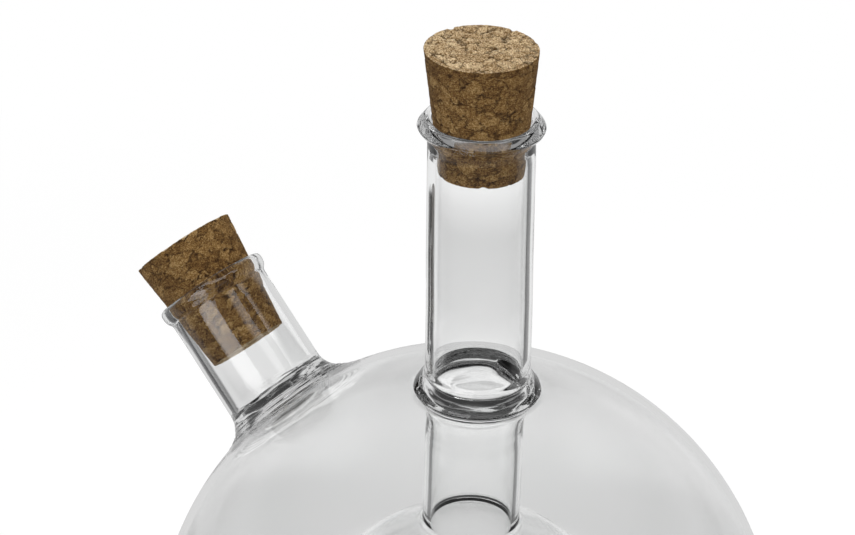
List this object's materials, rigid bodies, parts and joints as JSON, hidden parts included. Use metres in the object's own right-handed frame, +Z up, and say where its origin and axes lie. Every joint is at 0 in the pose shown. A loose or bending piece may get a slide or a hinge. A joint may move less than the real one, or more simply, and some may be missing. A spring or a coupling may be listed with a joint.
{
  "type": "oil and vinegar bottle",
  "caption": "Round clear glass bottle with a smaller flask hung inside it, an upright neck and a slanted side neck, each closed by a tapered cork.",
  "frame": {"origin": "centre of the flat base, on the globe's vertical axis", "axes": "+Z up along the globe and the central neck, -X towards the side neck, Y across it"},
  "size_m": [0.1503, 0.13, 0.1966],
  "materials": {
    "clear_glass": "clear, thin blown glass with fire-polished lips",
    "cork": "agglomerated cork with ground sides and cut ends"
  },
  "bodies": {
    "bottle": {"outer_globe": "clear_glass", "inner_bulb": "clear_glass", "inner_stem": "clear_glass", "neck_ring_seal": "clear_glass", "central_neck": "clear_glass", "side_neck_weld": "clear_glass", "side_neck": "clear_glass"},
    "central_stopper": {"central_cork": "cork"},
    "side_stopper": {"side_cork": "cork"}
  },
  "joints": [
    {"name": "central_cork_pull", "type": "slide", "parent": "bottle", "child": "central_stopper", "axis": [0, 0, 1], "range_m": [0, 0.035]},
    {"name": "side_cork_pull", "type": "slide", "parent": "bottle", "child": "side_stopper", "axis": [-0.7059, 0, 0.7083], "range_m": [0, 0.035]}
  ]
}
